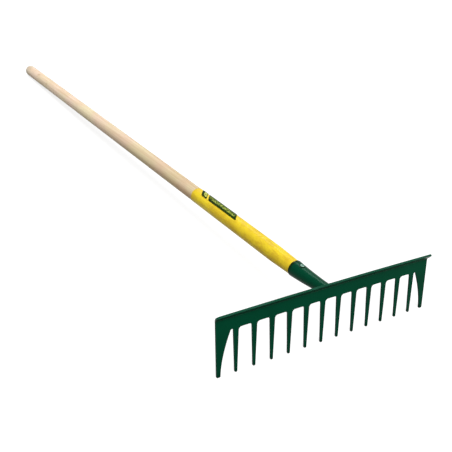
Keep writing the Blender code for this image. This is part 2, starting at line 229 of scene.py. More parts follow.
def makeEnamel(name, look, edge=0.0, sheared=False, lumpy=0.0):
    finish, tree, shader = newFinish(name)
    space = spaceOf(tree, (-1300, 0), toolFrame)
    clouds = addNoise(tree, (-1050, 300), space, look["cloudScale"], 3.0, 0.55, 0.4)
    mist = addNoise(tree, (-1050, 60), space, look["mistScale"], 3.0, 0.6)
    colour = addLayer(tree, (-620, 300), look["deep"], look["fresh"], clouds, *look["cloudRange"])
    colour = addLayer(tree, (-420, 260), colour, look["fresh"], mist, *look["mistRange"])
    roughness = addRange(tree, (-620, -60), mist, 0.3, 0.7, look["smooth"], look["dull"])

    peel = addNoise(tree, (-1050, -240), space, look["peelScale"], 1.0, 0.4)
    sag = addNoise(tree, (-1050, -480), space, look["sagScale"], 2.0, 0.5, 0.6)
    normal = addBump(tree, (-420, -480), sag, 0.10, look["sagDepth"])
    normal = addBump(tree, (-200, -300), peel, look["peel"], look["peelDepth"], normal)

    if sheared:      # fine lines that the press tool left through the thickness
        lines = spaceOf(tree, (-1300, -760), toolFrame, look["shearStretch"])
        shear = addNoise(tree, (-1050, -760), lines, 1.0, 2.0, 0.6)
        normal = addBump(tree, (0, -420), shear, 0.22, look["shearDepth"], normal)
        colour = addLayer(tree, (-220, 260), colour, look["thin"], shear, *look["shearRange"])
    if lumpy:
        lumps = addNoise(tree, (-1050, -980), space, look["lumpScale"], 3.0, 0.65)
        normal = addBump(tree, (0, -640), lumps, lumpy, look["lumpDepth"], normal)
    if edge:         # paint draws back from a sharp edge, and a few spots are knocked off
        thinning = addNoise(tree, (-1050, 520), space, look["thinScale"], 4.0, 0.6)
        thinShare = addRange(tree, (-620, 500), thinning, 0.35, 0.7, 0.25 * edge, edge)
        colour = addMix(tree, (0, 260), thinShare, colour, look["thin"])
        chips = addNoise(tree, (-1050, 760), space, look["chipScale"], 2.0, 0.5)
        colour = addLayer(tree, (200, 260), colour, look["bare"], chips, *look["chipRange"],
                          look["chipShare"] * edge)

    # painted shade: the colour darkens towards the tooth tips and over the teeth
    height = splitAxes(tree, (-1050, 980), space)["Z"]
    tips = addRange(tree, (-850, 980), height, 0.0, look["paintedTipShadeUp"], look["paintedTipShadeShare"], 0.0)
    teeth = addRange(tree, (-850, 1200), height, *look["paintedTeethShadeUp"], look["paintedTeethShadeShare"], 0.0)
    low = addMath(tree, (-620, 980), "MAXIMUM", tips, teeth)
    colour = addMix(tree, (300, 460), low, colour, look["paintedTipShade"])
    dressShader(tree, shader, colour, roughness, normal)
    shader.inputs["Specular IOR Level"].default_value = look["shine"]
    shader.inputs["Specular Tint"].default_value = (*look["gleam"], 1.0)
    return finish


enamelFace = makeEnamel("greenEnamel", enamelLook)
enamelRim = makeEnamel("greenEnamelSheared", enamelLook, edge=0.55, sheared=True)
enamelEdge = makeEnamel("greenEnamelEdge", enamelLook, edge=0.6)
enamelWeld = makeEnamel("greenEnamelWeld", enamelLook, edge=0.1, lumpy=0.35)
print("green enamel mixed")


# helpers for the shapes

arcRoom = 0.48                      # share of a side that one rounded corner may take up
creaseAngle = math.radians(50.0)    # a round piece is shaded smooth below this


def quarter(step, steps):
    return math.pi / 2 * step / steps


def around(steps):
    return [2 * math.pi * step / steps for step in range(steps)]


def meshOf(name, work):
    mesh = bpy.data.meshes.new(name)
    work.to_mesh(mesh)
    work.free()
    mesh.shade_smooth()
    return mesh


def roundOff(corners, arcSteps):
    points = []
    for index, (x, z, radius) in enumerate(corners):
        corner = Vector((x, z))
        if radius <= 0.0:
            points.append(corner)
            continue
        before = Vector(corners[index - 1][:2]) - corner
        after = Vector(corners[(index + 1) % len(corners)][:2]) - corner
        half = before.angle(after) / 2
        reach = min(radius / math.tan(half), arcRoom * before.length, arcRoom * after.length)
        before.normalize()
        after.normalize()
        centre = corner + (before + after).normalized() * (reach * math.tan(half) / math.sin(half))
        first = corner + before * reach - centre
        sweep = first.angle_signed(corner + after * reach - centre)
        for step in range(arcSteps + 1):
            arm = first.copy()
            arm.rotate(Matrix.Rotation(-sweep * step / arcSteps, 2))
            points.append(centre + arm)
    return points


def cutBlank(outline):
    blank = bmesh.new()
    blank.faces.new([blank.verts.new((point.x, point.y, 0.0)) for point in outline])
    return blank


def scoreLines(blank, lines, direction):
    for line in lines:
        everything = blank.verts[:] + blank.edges[:] + blank.faces[:]
        bmesh.ops.bisect_plane(blank, geom=everything, dist=0.000001,
                               plane_co=direction * line, plane_no=direction)


def faceTowards(blank, direction):
    bmesh.ops.recalc_face_normals(blank, faces=blank.faces[:])
    if max(blank.faces, key=lambda face: face.calc_area()).normal.dot(direction) < 0.0:
        bmesh.ops.reverse_faces(blank, faces=blank.faces[:])


def thicken(piece, thickness, offset):
    gauge = piece.modifiers.new("gauge", "SOLIDIFY")
    gauge.thickness = thickness
    gauge.offset = offset
    return gauge


def softenEdges(piece, width, segments, angle):
    softEdge = piece.modifiers.new("softEdge", "BEVEL")
    softEdge.width = width
    softEdge.segments = segments
    softEdge.limit_method = "ANGLE"
    softEdge.angle_limit = angle
    return softEdge


def skin(name, rings, loop=False, tips=(None, None)):      # a closed skin through rings of points
    shell = bmesh.new()
    rows = [[shell.verts.new(point) for point in ring] for ring in rings]
    pairs = list(zip(rows, rows[1:]))
    if loop:
        pairs.append((rows[-1], rows[0]))
    for row, following in pairs:
        for index in range(len(row)):
            beside = (index + 1) % len(row)
            shell.faces.new((row[index], row[beside], following[beside], following[index]))
    for tip, row in zip(tips, (rows[0], rows[-1])):
        if tip is not None:
            peak = shell.verts.new(tip)
            for index in range(len(row)):
                shell.faces.new((row[index], row[(index + 1) % len(row)], peak))
    bmesh.ops.recalc_face_normals(shell, faces=shell.faces[:])
    mesh = meshOf(name, shell)
    mesh.set_sharp_from_angle(angle=creaseAngle)
    return mesh


sheet = dict(
    thickness=layDown["sheetThickness"],
    teeth=14,
    pitch=0.0285,
    toothHeight=0.0666,
    rootWidth=0.0081,
    tipWidth=0.0039,
    tipRound=0.0015,
    fillet=0.0045,
    rootArch=0.0015,
    endMargin=0.00195,
    endRootWidth=0.0224,
    endTipWidth=0.0059,
    endDrawIn=0.0008,
    endCurve=1.75,
    band=0.0174,
    bandScore=0.45,       # where the band is divided, as a share of its height
    lipLength=0.0114,
    lipAngle=math.radians(45.0),
    lipRadius=0.002,
    lipArch=0.0013,
    lipFlare=0.0040,
    lipCorner=0.007,
    edgeRound=0.0005,
    edgeSegments=3,
    edgeAngle=math.radians(45.0),
    arcSteps=9,
    curveSteps=22,
    bendSteps=7,
)
bendLoss = sheet["lipRadius"] * math.tan(sheet["lipAngle"] / 2)
sheet["half"] = sheet["pitch"] * (sheet["teeth"] - 1) / 2 + sheet["endMargin"]
sheet["bendStart"] = sheet["toothHeight"] + sheet["band"] - bendLoss
sheet["bendEnd"] = sheet["bendStart"] + sheet["lipRadius"] * sheet["lipAngle"]
sheet["top"] = sheet["bendEnd"] + sheet["lipLength"] - bendLoss


def rootAt(x):
    return sheet["toothHeight"] - sheet["rootArch"] * (x / sheet["half"]) ** 2


def endToothCorners(side):
    rootX = sheet["half"] - sheet["endRootWidth"]
    outerX = sheet["half"] - sheet["endDrawIn"]
    innerX = outerX - sheet["endTipWidth"]
    rootZ = rootAt(rootX)
    space = rootX - sheet["pitch"] * (sheet["teeth"] - 3) / 2 - sheet["rootWidth"] / 2
    fillet = min(sheet["fillet"], space / 2)
    corners = [(side * outerX, 0.0, sheet["tipRound"]), (side * innerX, 0.0, sheet["tipRound"])]
    for step in range(1, sheet["curveSteps"]):
        share = step / sheet["curveSteps"]
        corners.append((side * (innerX - (innerX - rootX) * share ** sheet["endCurve"]), rootZ * share, 0.0))
    corners.append((side * rootX, rootZ, fillet))
    return corners, fillet


def sheetOutline():
    corners, endFillet = endToothCorners(-1)
    last = sheet["teeth"] - 2
    for index in range(1, last + 1):
        middle = sheet["pitch"] * (index - (sheet["teeth"] - 1) / 2)
        leftX = middle - sheet["rootWidth"] / 2
        rightX = middle + sheet["rootWidth"] / 2
        corners.append((leftX, rootAt(leftX), endFillet if index == 1 else sheet["fillet"]))
        corners.append((middle - sheet["tipWidth"] / 2, 0.0, sheet["tipRound"]))
        corners.append((middle + sheet["tipWidth"] / 2, 0.0, sheet["tipRound"]))
        corners.append((rightX, rootAt(rightX), endFillet if index == last else sheet["fillet"]))
    corners += reversed(endToothCorners(1)[0])
    corners.append((sheet["half"], sheet["bendStart"], 0.0))
    corners.append((sheet["half"] + sheet["lipFlare"], sheet["top"], sheet["lipCorner"]))
    corners.append((-sheet["half"] - sheet["lipFlare"], sheet["top"], sheet["lipCorner"]))
    corners.append((-sheet["half"], sheet["bendStart"], 0.0))
    return roundOff(corners, sheet["arcSteps"])


def pressed(x, up):
    rise = min(max((up - sheet["toothHeight"]) / (sheet["bendStart"] - sheet["toothHeight"]), 0.0), 1.0)
    angle = min(max((up - sheet["bendStart"]) / sheet["lipRadius"], 0.0), sheet["lipAngle"])
    straight = max(up - sheet["bendEnd"], 0.0)
    y = -sheet["lipRadius"] * (1.0 - math.cos(angle)) - straight * math.sin(angle)
    z = min(up, sheet["bendStart"]) + sheet["lipRadius"] * math.sin(angle) + straight * math.cos(angle)
    return Vector((x, y, z - sheet["lipArch"] * (x / sheet["half"]) ** 2 * rise))


def makeSheet():
    blank = cutBlank(sheetOutline())
    gaps = [sheet["pitch"] * (step / 2 - sheet["teeth"] / 2) for step in range(1, 2 * sheet["teeth"])]
    folds = [sheet["bendStart"] + (sheet["bendEnd"] - sheet["bendStart"]) * step / sheet["bendSteps"]
             for step in range(sheet["bendSteps"] + 1)]
    score = sheet["toothHeight"] + sheet["band"] * sheet["bandScore"]
    scoreLines(blank, [score] + folds, Vector((0, 1, 0)))
    scoreLines(blank, gaps, Vector((1, 0, 0)))
    for vertex in blank.verts:
        vertex.co = pressed(vertex.co.x, vertex.co.y)
    faceTowards(blank, Vector((0, -1, 0)))
    mesh = meshOf("pressedSheet", blank)
    finishes = (enamelFace, enamelRim, enamelEdge)
    piece = setDown("pressedHead", mesh, toolFrame, finishes, "green_paint", "rake_head")
    gauge = thicken(piece, sheet["thickness"], -1.0)
    gauge.use_even_offset = True
    gauge.material_offset_rim = finishes.index(enamelRim)
    softEdge = softenEdges(piece, sheet["edgeRound"], sheet["edgeSegments"], sheet["edgeAngle"])
    softEdge.harden_normals = True
    softEdge.material = finishes.index(enamelEdge)
    return piece


pressedHead = makeSheet()
print("sheet pressed:", len(pressedHead.data.vertices), "points")


grip = dict(
    end=layDown["handleEnd"],
    dome=layDown["handleDome"],
    domeBulge=0.92,
    farRadius=layDown["handleRadius"],
    nearRadius=0.0134,
    neckRadius=0.0118,
    neckLength=0.050,
    tangLength=0.054,
    tangEdge=0.0008,       # the tang's end is cut back by this
    tangEdgeLength=0.0012,
    shoulder=0.0006,       # from the tang to where the film starts
    filmRest=0.0004,       # from the film's end to where the wood has its full thickness
    wobble=0.00014,        # how uneven the turning is
    sides=96,
    coveredSteps=24,
    bareSteps=110,
    domeSteps=15,
)
film = dict(
    length=0.2997,
    wall=0.0005,
    step=0.0002,           # its outside above the wood's full thickness
    gap=0.0003,
    pucker=0.00010,
    puckerReach=0.004,
    slack=0.00006,
    edgeRound=0.00016,
    edgeSegments=2,
    edgeAngle=math.radians(60.0),
    steps=70,
)
socket = dict(
    start=layDown["sheetThickness"],
    mouth=0.086,
    proud=0.0012,
    wall=0.0016,
    endHalfWidth=0.0090,
    endHalfHeight=0.0079,
    swell=1.05,
    dent=0.00007,
    lipRound=0.0006,
    shadeAndGrime=(0.0060, 0.0160, 0.0030),      # painted shade at the mouth and round the screw
    paintedShadeScale=420.0,
    paintedShadeRagged=0.0004,
    paintedShadeBack=(0.0060, 0.0025),          # from the mouth
    paintedShadeShare=0.90,
    shine=0.046,                         # the tube is glossier than the sheet
    smooth=0.20,
    dull=0.28,
    sides=96,
    steps=30,
    lipSteps=4,
)
socket["run"] = socket["mouth"] * math.cos(layDown["handleRise"]) - socket["start"]
socket["slope"] = math.tan(layDown["handleRise"])
socket["mouthRadius"] = grip["neckRadius"] + film["step"] + socket["proud"]


def socketSection(share):
    mouthZ = layDown["handleHeight"] + socket["mouth"] * math.sin(layDown["handleRise"])
    z = mouthZ - socket["slope"] * socket["run"] * (1.0 - share ** 2) / 2
    swell = max(share, 0.0) ** socket["swell"]
    wide = socket["endHalfWidth"] + (socket["mouthRadius"] - socket["endHalfWidth"]) * swell
    high = socket["endHalfHeight"] + (socket["mouthRadius"] - socket["endHalfHeight"]) * swell
    centre = Vector((0.0, socket["start"] + socket["run"] * share, z))
    return centre, math.atan(socket["slope"] * share), wide, high


def socketRing(share, inset):
    centre, lean, wide, high = socketSection(share)
    up = Vector((0.0, -math.sin(lean), math.cos(lean)))
    ring = []
    for angle in around(socket["sides"]):
        spot = Vector((2 * math.cos(angle), 2 * math.sin(angle), share * 9))
        dent = socket["dent"] * noise.noise(spot)
        sideways = Vector(((wide - inset + dent) * math.cos(angle), 0.0, 0.0))
        ring.append(centre + sideways + up * ((high - inset + dent) * math.sin(angle)))
    return ring


screwSize = dict(
    fromMouth=0.017,
    headRadius=0.0035,
    headHeight=0.0021,
    rim=0.0006,
    edge=0.0002,
    shankRadius=0.0017,
    length=0.0095,
    point=0.0025,
    pointRadius=0.25,      # of the shank's, where the very tip starts
    pointTip=0.0003,
    lift=0.0002,
    recessLength=0.0036,
    recessWidth=0.0008,
    recessDepth=0.0011,
    recessTaper=(0.45, 0.8),
    recessTurn=math.radians(20.0),
    recessClearance=0.001,
    paintedShadeReach=(0.0004, 0.0026),      # painted shade round the screw, from the head's rim
    sides=48,
    crownSteps=12,
    creaseAngle=math.radians(35.0),
    plate=(0.15, 0.29, 0.24),
    tint=(0.17, 0.24, 0.19),
    # grime on the zinc, in patches
    shadeAndGrime=(0.10, 0.11, 0.09),
    spunScale=2400.0,
    cloudScale=520.0,
    tintRange=(0.4, 0.65),
    grimeRange=(0.66, 0.80, 0.6),
    smooth=0.26,
    dull=0.42,
)


def screwPlace():      # on top of the tube, along its slope there
    along = (socket["mouth"] - screwSize["fromMouth"]) * math.cos(layDown["handleRise"])
    share = (along - socket["start"]) / socket["run"]
    tops = []
    for near in (share - 0.04, share, share + 0.04):
        centre, lean, wide, high = socketSection(near)
        tops.append(centre + Vector((0.0, -math.sin(lean), math.cos(lean))) * high)
    run = tops[2] - tops[0]
    return toolFrame @ Matrix.Translation(tops[1]) @ Matrix.Rotation(math.atan2(run.z, run.y), 4, "X")


def paintSocketShade(finish):
    # paints shade into the socket's colour: a dark band at the mouth and a dark ring round the screw
    tree = finish.node_tree
    shader = tree.nodes["Principled BSDF"]
    colour = shader.inputs["Base Color"].links[0].from_socket
    space = spaceOf(tree, (-1300, -1200), toolFrame)
    ragged = addNoise(tree, (-1050, -1200), space, socket["paintedShadeScale"], 2.0, 0.5)
    uneven = addRange(tree, (-850, -1200), ragged, 0.3, 0.7, -socket["paintedShadeRagged"], socket["paintedShadeRagged"])

    # painted shade: a dark band at the mouth
    axes = splitAxes(tree, (-1050, -1460), spaceOf(tree, (-1300, -1460), handleFrame))
    along = addMath(tree, (-650, -1460), "ADD", axes["Y"], uneven)
    start, full = (socket["mouth"] - back for back in socket["paintedShadeBack"])
    colour = addLayer(tree, (320, 620), colour, socket["shadeAndGrime"], along, start, full, socket["paintedShadeShare"])

    # painted shade: a dark ring round the screw
    away = addLength(tree, (-1050, -1720), spaceOf(tree, (-1300, -1720), screwPlace()))
    reach = addMath(tree, (-650, -1720), "ADD", away, uneven)
    full, end = (screwSize["headRadius"] + beyond for beyond in screwSize["paintedShadeReach"])
    colour = addLayer(tree, (320, 780), colour, socket["shadeAndGrime"], reach, end, full, socket["paintedShadeShare"])
    wire(tree, colour, shader, "Base Color")
    return finish


def makeSocket():
    small = socket["lipRound"]
    last = 1.0 - small / socket["run"]
    shares = [last * step / socket["steps"] for step in range(socket["steps"] + 1)]
    rings = [socketRing(share, 0.0) for share in shares]
    for step in range(1, socket["lipSteps"] + 1):
        angle = quarter(step, socket["lipSteps"])
        rings.append(socketRing(last + (1.0 - last) * math.sin(angle), small * (1.0 - math.cos(angle))))
    for step in range(socket["lipSteps"] + 1):
        angle = quarter(step, socket["lipSteps"])
        inset = socket["wall"] - small * (1.0 - math.sin(angle))
        rings.append(socketRing(last + (1.0 - last) * math.cos(angle), inset))
    rings += [socketRing(share, socket["wall"]) for share in reversed(shares[:-1])]
    gloss = dict(enamelLook, shine=socket["shine"], smooth=socket["smooth"], dull=socket["dull"])
    shadedSocketEnamel = paintSocketShade(makeEnamel("greenEnamelSocket", gloss))
    mesh = skin("socketTube", rings, loop=True)
    setDown("socketTube", mesh, toolFrame, (shadedSocketEnamel,), "green_paint", "socket")


weld = dict(
    leg=0.0022,
    lowLeg=0.0006,
    uneven=0.16,
    fullness=0.9,
    inset=0.0004,         # how far it reaches into the tube's wall
    ripple=0.0015,        # spacing of the ripples
    rippleRadius=0.010,   # on a ring of this radius
    rippleLean=0.55,
    rippleCrest=0.6,
    height=0.00016,
    sides=300,
    steps=9,
)


def weldPoint(angle, backward, outward):
    centre, lean, wide, high = socketSection(backward / socket["run"])
    z = centre.z + (high + outward) * math.sin(angle)
    return Vector(((wide + outward) * math.cos(angle), centre.y, z))


def weldRing(turn):
    ring = []
    for angle in around(weld["sides"]):
        leg = weld["lowLeg"] + (weld["leg"] - weld["lowLeg"]) * min(1.0 + math.sin(angle), 1.0)
        leg *= 1.0 + weld["uneven"] * noise.noise(Vector((3 * math.cos(angle), 3 * math.sin(angle), 0.4)))
        arc = angle * weld["rippleRadius"] / weld["ripple"] + weld["rippleLean"] * math.sin(2 * turn)
        crest = abs(math.sin(math.pi * arc)) ** weld["rippleCrest"] * weld["height"]
        wave = crest * math.sin(2 * turn) * leg / weld["leg"]
        outward = leg * math.cos(turn) ** weld["fullness"] + wave
        backward = leg * math.sin(turn) ** weld["fullness"] + wave
        ring.append(weldPoint(angle, backward, outward))
    return ring


def makeWeld():
    rings = [weldRing(quarter(step, weld["steps"])) for step in range(weld["steps"] + 1)]
    rings.append([weldPoint(angle, 0.0, -weld["inset"]) for angle in around(weld["sides"])])
    mesh = skin("weldBead", rings, loop=True)
    setDown("weldBead", mesh, toolFrame, (enamelWeld,), "green_paint", "weld_bead")


makeSocket()
makeWeld()
print("socket welded on")


woodLook = dict(
    pale=(0.865, 0.785, 0.605),
    warm=(0.735, 0.575, 0.395),
    warmScale=42.0,
    warmRange=(0.33, 0.67),
    blushScale=9.0,
    pink=(0.820, 0.645, 0.515),
    pinkRange=(0.49, 0.62, 0.90),
    straw=(0.790, 0.715, 0.480),
    strawRange=(0.50, 0.38, 0.85),
    streak=(0.600, 0.425, 0.270),
    streakScale=210.0,
    streakRange=(0.46, 0.72, 0.60),
    late=(0.520, 0.345, 0.200),          # darker lines of late wood
    lateShare=0.34,
    fibreScale=620.0,
    fibreStretch=(1.0, 0.018, 1.0),
    fibreRange=(0.48, 0.80, 0.42),
    fibreDepth=0.00022,
    pore=(0.330, 0.205, 0.110),
    poreScale=1500.0,
    poreStretch=(1.0, 0.045, 1.0),
    poreRange=(0.66, 0.78),
    poreShare=0.42,
    poreDepth=0.00015,
    handled=(0.79, 0.730, 0.635),        # towards the head the bare wood is a little darker
    handledRange=(1.10, 0.42),
    worn=(0.71, 0.78, 0.81),             # and so is the far end, where the grain is cut across
    wornRange=(1.400, layDown["handleEnd"]),
    knot=(0.250, 0.140, 0.070),
    knotStretch=0.55,
    knotRagged=0.22,
    ringScale=0.314,                     # of the wave node, for rings 1 m apart
    ringSpacing=0.0026,
    ringStretch=(1.0, 0.10, 1.0),
    ringTilt=(math.radians(14.0), 0.0, math.radians(4.0)),
    pithOffset=(0.019, 0.0, 0.027),
    ringDepth=0.00020,
    shine=0.11,
    smooth=0.50,
    dull=0.68,
)
knots = (      # along the handle, angle from the top, radius
    (1.334, -0.5, 0.0034),
    (1.247, -1.1, 0.0026),
    (0.842, 2.4, 0.0046),
    (0.560, -2.2, 0.0038),
)


def addRings(tree, look):
    tilted = spaceOf(tree, (-1900, 400), handleFrame,
                     look["ringStretch"], look["ringTilt"], look["pithOffset"])
    rings = addNode(tree, "ShaderNodeTexWave", (-1600, 400),
                    {"Scale": look["ringScale"] / look["ringSpacing"], "Distortion": 2.6, "Detail": 2.0,
                     "Detail Scale": 0.22, "Detail Roughness": 0.55},
                    wave_type="RINGS", rings_direction="Y", wave_profile="SAW")
    wire(tree, tilted, rings, "Vector")
    late = addRange(tree, (-1350, 400), rings.outputs["Fac"], 0.55, 1.0, 0.0, 1.0)
    return addMath(tree, (-1150, 400), "POWER", late, 2.2)


def addKnot(tree, look, index, knot, colour, plain, fibres):
    along, angle, radius = knot
    wide = grip["nearRadius"] + (grip["farRadius"] - grip["nearRadius"]) * along / grip["end"]
    x = 100 + 180 * index
    y = -900 - 260 * index
    local = addNode(tree, "ShaderNodeVectorMath", (-1600, y), operation="SUBTRACT")
    local.inputs[1].default_value = (wide * math.sin(angle), along, wide * math.cos(angle))
    wire(tree, plain, local, 0)
    squeezed = addNode(tree, "ShaderNodeVectorMath", (-1420, y), operation="MULTIPLY")
    squeezed.inputs[1].default_value = (1.0 / radius, look["knotStretch"] / radius, 1.0 / radius)
    wire(tree, local.outputs[0], squeezed, 0)
    away = addLength(tree, (-1240, y), squeezed.outputs[0])
    uneven = addRange(tree, (-1240, y - 120), fibres, 0.3, 0.7, -look["knotRagged"], look["knotRagged"])
    ragged = addMath(tree, (-1060, y), "ADD", away, uneven)
    halo = addRange(tree, (-880, y), ragged, 0.75, 2.8, 0.30, 0.0)
    heart = addRange(tree, (-880, y - 130), ragged, 0.20, 0.75, 0.50, 0.0)
    colour = addMix(tree, (x, 500), halo, colour, look["late"])
    return addMix(tree, (x, 300), heart, colour, look["knot"])


def makeWood(look):
    finish, tree, shader = newFinish("paleWood")
    plain = spaceOf(tree, (-1900, 0), handleFrame)
    fibreSpace = spaceOf(tree, (-1900, -300), handleFrame, look["fibreStretch"])
    poreSpace = spaceOf(tree, (-1900, -560), handleFrame, look["poreStretch"])
    late = addRings(tree, look)
    drift = addNoise(tree, (-1600, 120), fibreSpace, look["warmScale"], 2.0, 0.5, 0.3)
    blush = addNoise(tree, (-1600, -80), plain, look["blushScale"], 2.0, 0.5, 0.2)
    streaks = addNoise(tree, (-1600, -180), fibreSpace, look["streakScale"], 3.0, 0.55, 0.2)
    fibres = addNoise(tree, (-1600, -300), fibreSpace, look["fibreScale"], 4.0, 0.62)
    pores = addNoise(tree, (-1600, -560), poreSpace, look["poreScale"], 1.0, 0.5)
    poreShare = addRange(tree, (-1350, -560), pores, *look["poreRange"], 0.0, look["poreShare"])
    along = splitAxes(tree, (-1600, 700), plain)["Y"]

    colour = addLayer(tree, (-900, 300), look["pale"], look["warm"], drift, *look["warmRange"])
    for x, tint, pattern in ((-800, "pink", blush), (-700, "straw", blush), (-600, "streak", streaks)):
        colour = addLayer(tree, (x, 300), colour, look[tint], pattern, *look[tint + "Range"])
    lateShare = addMath(tree, (-900, 480), "MULTIPLY", late, look["lateShare"])
    colour = addMix(tree, (-500, 300), lateShare, colour, look["late"])
    for y, tint in ((500, "handled"), (720, "worn")):
        colour = addLayer(tree, (-400, y), colour, look[tint], along, *look[tint + "Range"], blend="MULTIPLY")
    colour = addLayer(tree, (-300, 300), colour, look["late"], fibres, *look["fibreRange"])
    colour = addMix(tree, (-100, 300), poreShare, colour, look["pore"])
    for index, knot in enumerate(knots):
        colour = addKnot(tree, look, index, knot, colour, plain, fibres)

    normal = addBump(tree, (-300, -200), fibres, 0.30, look["fibreDepth"])
    normal = addBump(tree, (-100, -300), late, 0.12, look["ringDepth"], normal)
    normal = addBump(tree, (100, -400), poreShare, -0.35, look["poreDepth"], normal)
    roughness = addRange(tree, (-300, 0), fibres, 0.3, 0.7, look["smooth"], look["dull"])
    dressShader(tree, shader, colour, roughness, normal)
    shader.inputs["Specular IOR Level"].default_value = look["shine"]
    return finish


paleWood = makeWood(woodLook)
filmStart = socket["mouth"] + film["gap"]
filmEnd = filmStart + film["length"]


def woodRadius(along):
    taper = (along - socket["mouth"]) / (domeStart - socket["mouth"])
    radius = grip["nearRadius"] + (grip["farRadius"] - grip["nearRadius"]) * taper
    narrowing = max(1.0 - (along - socket["mouth"]) / grip["neckLength"], 0.0)
    return radius - (grip["nearRadius"] - grip["neckRadius"]) * narrowing


def roundRing(radius, along, wobble=0.0):
    ring = []
    for angle in around(grip["sides"]):
        spot = Vector((1.3 * math.sin(angle), along * 9.0, 1.3 * math.cos(angle)))
        uneven = wobble * noise.noise(spot)
        ring.append(Vector(((radius + uneven) * math.sin(angle), along, (radius + uneven) * math.cos(angle))))
    return ring


def makeHandle():
    tangStart = filmStart - grip["tangLength"]
    tangRadius = socket["endHalfHeight"] - socket["wall"] + grip["tangEdge"]
    rings = [
        roundRing(tangRadius - grip["tangEdge"], tangStart),
        roundRing(tangRadius, tangStart + grip["tangEdgeLength"]),
        roundRing(grip["neckRadius"] - socket["wall"], filmStart - grip["shoulder"]),
    ]
    hidden = film["wall"] + film["gap"] - film["step"]
    for step in range(grip["coveredSteps"] + 1):
        along = filmStart + (filmEnd - filmStart) * step / grip["coveredSteps"]
        rings.append(roundRing(woodRadius(along) - hidden, along))
    for step in range(grip["bareSteps"] + 1):
        run = domeStart - filmEnd - grip["filmRest"]
        along = filmEnd + grip["filmRest"] + run * step / grip["bareSteps"]
        rings.append(roundRing(woodRadius(along), along, grip["wobble"]))
    for step in range(1, grip["domeSteps"]):
        angle = quarter(step, grip["domeSteps"])
        radius = grip["farRadius"] * math.cos(angle) ** grip["domeBulge"]
        rings.append(roundRing(radius, domeStart + grip["dome"] * math.sin(angle), grip["wobble"]))
    mesh = skin("woodHandle", rings, tips=(Vector((0.0, tangStart, 0.0)), Vector((0.0, grip["end"], 0.0))))
    setDown("woodHandle", mesh, handleFrame, (paleWood,), "bare_wood", "handle")


makeHandle()
print("handle turned")


filmLook = dict(
    sun=(0.840, 0.650, 0.026),
    deep=(0.740, 0.520, 0.022),
    deepScale=16.0,
    deepRange=(0.35, 0.65),
    ochre=(0.560, 0.350, 0.022),         # where the wood below shows in the stretched film
    grainScale=380.0,
    grainStretch=(1.0, 0.03, 1.0),
    grainRange=(0.48, 0.74, 0.42),
    grainDepth=0.00025,
    mottleScale=125.0,
    mottleStretch=(1.0, 0.40, 1.0),
    mottleRange=(0.45, 0.66, 0.60),
    mottleDepth=0.0005,
    soiled=(0.480, 0.330, 0.040),
    soiledReach=0.0035,
    soiledShare=0.35,
    fineScale=800.0,
    fineDepth=0.00008,
    shine=0.06,
    smooth=0.30,
    dull=0.44,
)


def makeFilm(look):
    finish, tree, shader = newFinish("yellowFilm")
    plain = spaceOf(tree, (-1300, 0), handleFrame)
    longSpace = spaceOf(tree, (-1300, -300), handleFrame, look["grainStretch"])
    mottleSpace = spaceOf(tree, (-1300, 360), handleFrame, look["mottleStretch"])
    patches = addNoise(tree, (-1050, 200), plain, look["deepScale"], 3.0, 0.55, 0.3)
    grainBelow = addNoise(tree, (-1050, -300), longSpace, look["grainScale"], 3.0, 0.6)
    mottle = addNoise(tree, (-1050, 360), mottleSpace, look["mottleScale"], 3.0, 0.65, 0.5)
    fine = addNoise(tree, (-1050, -40), plain, look["fineScale"], 2.0, 0.5)

    colour = addLayer(tree, (-600, 200), look["sun"], look["deep"], patches, *look["deepRange"])
    colour = addLayer(tree, (-400, 200), colour, look["ochre"], grainBelow, *look["grainRange"])
    colour = addLayer(tree, (-400, 0), colour, look["ochre"], mottle, *look["mottleRange"])
    along = splitAxes(tree, (-1050, 480), plain)["Y"]
    fromEnd = addMath(tree, (-820, 520), "SUBTRACT", filmEnd, along)
    nearEnd = addRange(tree, (-620, 560), fromEnd, 0.0, look["soiledReach"], look["soiledShare"], 0.0)
    specks = addRange(tree, (-620, 420), fine, 0.35, 0.65, 0.4, 1.0)
    soil = addMath(tree, (-420, 560), "MULTIPLY", nearEnd, specks, clamp=True)
    colour = addMix(tree, (-200, 300), soil, colour, look["soiled"])

    normal = addBump(tree, (-200, -250), grainBelow, 0.16, look["grainDepth"])
    normal = addBump(tree, (-100, -450), mottle, 0.18, look["mottleDepth"], normal)
    normal = addBump(tree, (0, -350), fine, 0.05, look["fineDepth"], normal)
    roughness = addRange(tree, (-400, -120), patches, 0.3, 0.7, look["smooth"], look["dull"])
    dressShader(tree, shader, colour, roughness, normal)
    shader.inputs["Specular IOR Level"].default_value = look["shine"]
    return finish


def filmRadius(along):
    return woodRadius(along) + film["step"]


def filmRing(along):
    puckers = film["pucker"] * math.exp(-min(along - filmStart, filmEnd - along) / film["puckerReach"])
    ring = []
    for angle in around(grip["sides"]):
        pucker = puckers * noise.noise(Vector((4 * math.sin(angle), 4 * math.cos(angle), along)))
        slackSpot = Vector((1.5 * math.sin(angle), along * 26, 1.5 * math.cos(angle)))
        radius = filmRadius(along) + pucker + film["slack"] * noise.noise(slackSpot)
        ring.append(Vector((radius * math.sin(angle), along, radius * math.cos(angle))))
    return ring


def makeSleeve():
    stations = [filmStart + film["length"] * step / film["steps"] for step in range(film["steps"] + 1)]
    outside = [filmRing(along) for along in stations]
    inside = [roundRing(filmRadius(along) - film["wall"], along)
              for along in (filmEnd, filmStart + grip["neckLength"], filmStart)]
    mesh = skin("yellowSleeve", outside + inside, loop=True)
    piece = setDown("yellowSleeve", mesh, handleFrame, (makeFilm(filmLook),), "yellow_film", "yellow_sleeve")
    softenEdges(piece, film["edgeRound"], film["edgeSegments"], film["edgeAngle"])


makeSleeve()
print("sleeve shrunk on")


